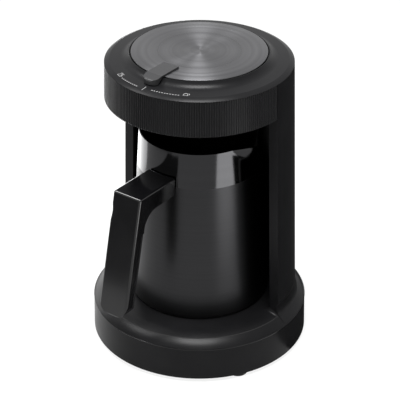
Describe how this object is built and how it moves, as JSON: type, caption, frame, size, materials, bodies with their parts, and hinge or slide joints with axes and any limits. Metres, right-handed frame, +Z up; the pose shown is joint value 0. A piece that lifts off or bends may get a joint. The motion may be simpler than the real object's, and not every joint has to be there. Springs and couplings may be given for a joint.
{
  "type": "electric turkish coffee maker",
  "caption": "Round coffee maker with a half-open column, a ribbed head with a turning knob and lever, and a lift-off steel jug on a hot plate.",
  "frame": {"origin": "on the machine's upright axis, on the plane that its feet stand on", "axes": "+Z up, -Y towards the handle and the user, +X to the user's right, where the spout points"},
  "size_m": [0.166, 0.1923, 0.2373],
  "materials": {
    "shell_black": "fine-grained moulded black",
    "gloss_black": "polished black",
    "liner_black": "satin black",
    "lever_grey": "satin dark grey",
    "spun_disc": "spun and anodised dark grey",
    "jug_steel": "dark tinted, satin body and polished neck",
    "plate_coated": "black heat-proof coating",
    "plain_steel": "plain",
    "foot_rubber": "matt",
    "moulded_inner": "moulded",
    "circuit_board": "green lacquer",
    "window": "dark red tinted"
  },
  "bodies": {
    "root": {"base_cover": "shell_black", "base_floor": "shell_black", "base_housing": "shell_black", "base_screws": "plain_steel", "buzzer": "moulded_inner", "capacitor": "moulded_inner", "column_liner": "gloss_black", "column_shell": "shell_black", "control_board": "circuit_board", "cord_bush": "foot_rubber", "foam_lens": "window", "foam_sensor": "moulded_inner", "foot_back": "foot_rubber", "foot_left": "foot_rubber", "foot_right": "foot_rubber", "head_band": "shell_black", "head_cover": "shell_black", "head_screws": "plain_steel", "head_underside": "shell_black", "heat_shield": "plain_steel", "heating_element": "plain_steel", "hot_plate": "plate_coated", "plate_seal": "foot_rubber", "power_board": "circuit_board", "relay": "moulded_inner", "rotary_switch": "moulded_inner", "switch_bush": "moulded_inner", "temperature_sensor": "moulded_inner", "terminal_block": "moulded_inner", "thermal_fuse": "moulded_inner", "thermostat": "moulded_inner", "transformer": "moulded_inner", "wire_harness": "foot_rubber"},
    "selector": {"selector_disc": "spun_disc", "selector_carrier": "moulded_inner", "selector_shaft": "plain_steel", "shaft_clip": "plain_steel", "selector_lever": "lever_grey"},
    "pot": {"pot_body": "jug_steel", "pot_base_disc": "plain_steel", "handle_bracket": "plain_steel", "handle_outer": "gloss_black", "handle_liner": "liner_black", "handle_screw": "plain_steel"}
  },
  "joints": [
    {"name": "selector_turn", "type": "hinge", "parent": "root", "child": "selector", "pos_m": [0, 0, 0.2], "axis": [0, 0, 1], "range_deg": [-22, 22]},
    {"name": "pot_lift", "type": "slide", "parent": "root", "child": "pot", "axis": [0, -0.9781, 0.2079], "range_m": [0, 0.18]}
  ]
}
